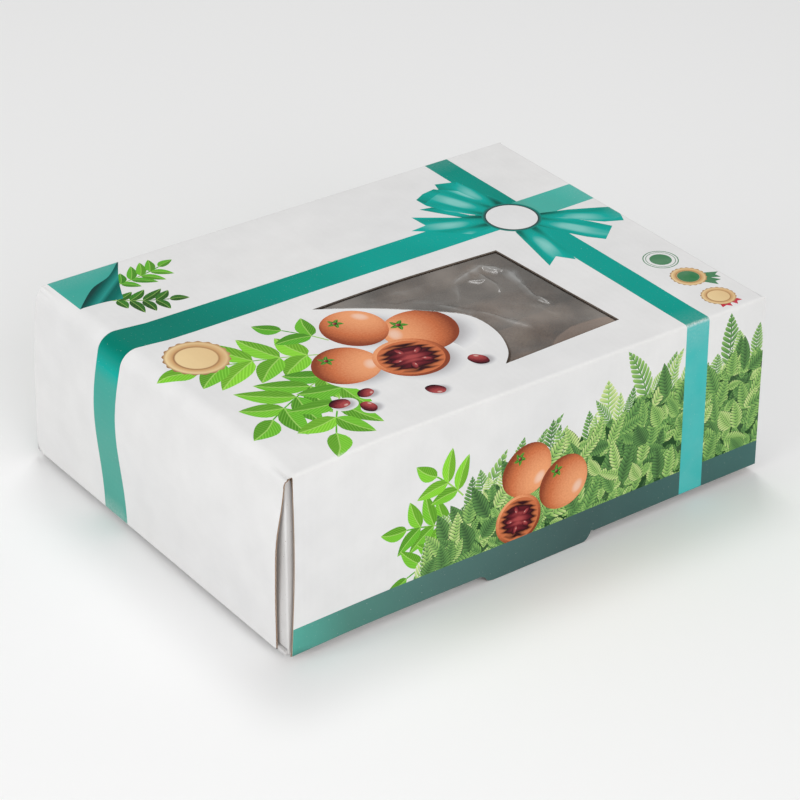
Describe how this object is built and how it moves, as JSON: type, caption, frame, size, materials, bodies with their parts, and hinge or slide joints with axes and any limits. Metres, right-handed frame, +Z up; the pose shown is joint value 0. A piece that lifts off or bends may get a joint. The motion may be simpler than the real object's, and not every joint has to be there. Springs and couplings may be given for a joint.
{
  "type": "hinged-lid fruit carton",
  "caption": "Shallow carton of fluted board with a fold-hinged lid, a clear film window, a lock tab and a filling of curved brown fruit pods.",
  "frame": {"origin": "middle of the carton's footprint, on the surface it stands on", "axes": "+Z up, +X from the hinge wall to the far end, -Y towards the front flap with the lock tab"},
  "size_m": [0.2444, 0.1832, 0.0835],
  "materials": {
    "printed_board": "coated white board with a satin print, creased at the folds",
    "raw_board": "uncoated brown board, matte",
    "clear_film": "thin clear packing film, crinkled and glossy",
    "pod_shell": "dry scurfy shell, matte"
  },
  "bodies": {
    "tray": {"base_panel": "raw_board", "tray_front_wall": "printed_board", "tray_back_wall": "printed_board", "tray_end_wall": "printed_board", "dust_flap_front": "printed_board", "dust_flap_back": "printed_board", "tray_corner_tab_front": "raw_board", "tray_corner_tab_back": "raw_board", "hinge_wall": "printed_board", "pod_01": "pod_shell", "pod_02": "pod_shell", "pod_03": "pod_shell", "pod_04": "pod_shell", "pod_05": "pod_shell", "pod_06": "pod_shell", "pod_07": "pod_shell", "pod_08": "pod_shell", "pod_09": "pod_shell", "pod_10": "pod_shell", "pod_11": "pod_shell", "pod_12": "pod_shell", "pod_13": "pod_shell", "pod_14": "pod_shell", "pod_15": "pod_shell", "pod_16": "pod_shell", "pod_17": "pod_shell", "pod_18": "pod_shell", "pod_19": "pod_shell", "pod_20": "pod_shell", "pod_21": "pod_shell", "pod_22": "pod_shell", "pod_23": "pod_shell", "pod_24": "pod_shell", "pod_25": "pod_shell", "pod_26": "pod_shell"},
    "lid": {"lid_top": "printed_board", "lid_front_flap": "printed_board", "lid_back_flap": "printed_board", "lid_end_flap": "printed_board", "lid_corner_tab_front": "printed_board", "lid_corner_tab_back": "printed_board", "window_film": "clear_film"}
  },
  "joints": [
    {"name": "lid_fold", "type": "hinge", "parent": "tray", "child": "lid", "pos_m": [-0.11755, 0, 0.0821], "axis": [0, -1, 0], "range_deg": [0, 180]}
  ]
}
